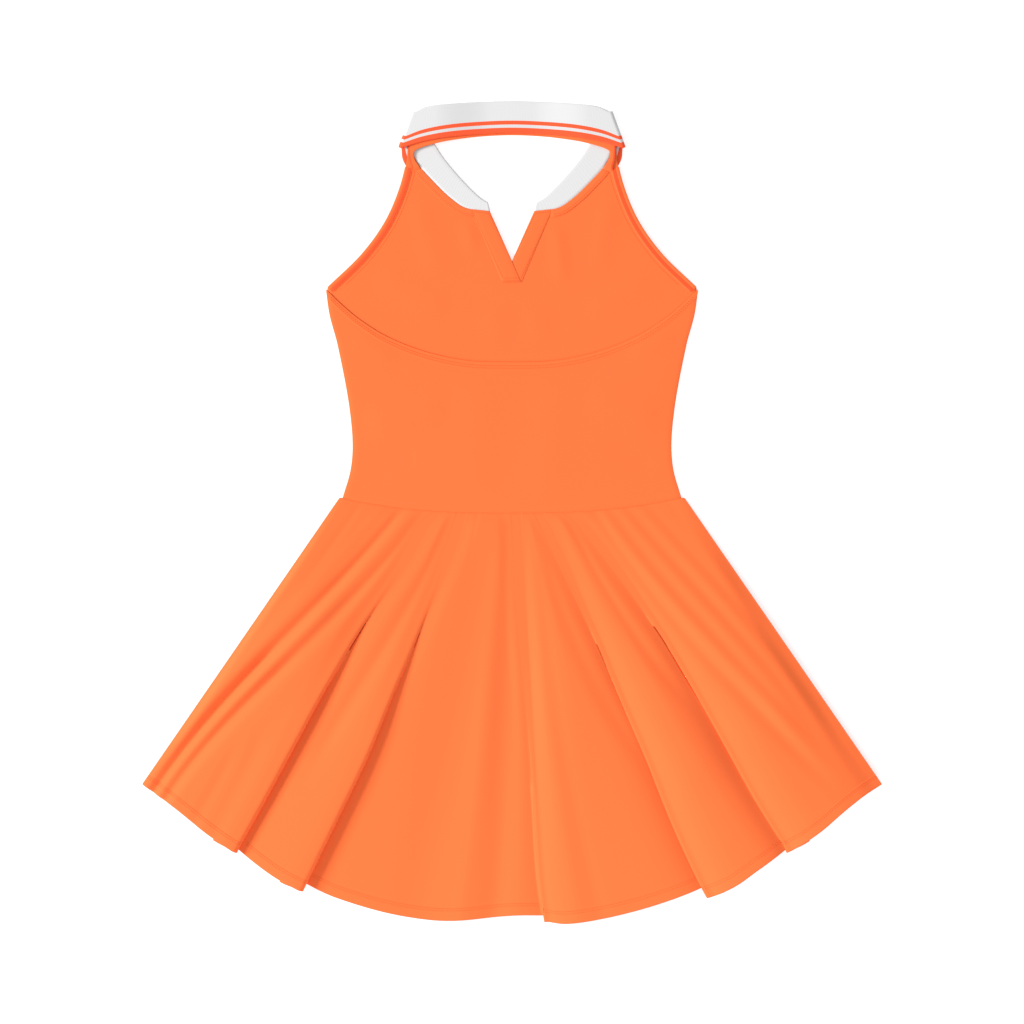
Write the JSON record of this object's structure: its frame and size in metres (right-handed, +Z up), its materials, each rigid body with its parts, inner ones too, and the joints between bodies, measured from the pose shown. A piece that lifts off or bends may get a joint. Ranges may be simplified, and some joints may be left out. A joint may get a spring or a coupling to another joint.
{
  "type": "tennis dress laid flat",
  "caption": "Halter tennis dress laid flat, back up: open back, white folded rib collar with tipping, V neck placket, flared folded skirt.",
  "frame": {"origin": "on the surface that the dress lies on, below the middle of its outline", "axes": "+Y from the hem to the collar, +X to the right as seen from above, +Z up out of the back of the dress"},
  "size_m": [0.7377, 0.8207, 0.015],
  "materials": {
    "orange_jersey": "smooth matt stretch jersey",
    "orange_binding": "smooth stretch binding, slightly deeper orange",
    "white_rib": "white knitted rib with orange and white tipping at its free edge"
  },
  "bodies": {
    "root": {"front_bodice": "orange_jersey", "back_bodice": "orange_jersey", "skirt_front": "orange_jersey", "skirt_back": "orange_jersey", "collar": "white_rib", "neck_strap": "orange_jersey", "neck_tape_left": "orange_jersey", "neck_tape_right": "orange_jersey", "armhole_binding_left": "orange_binding", "armhole_binding_right": "orange_binding", "placket_left": "orange_jersey", "placket_right": "orange_jersey"}
  },
  "joints": []
}
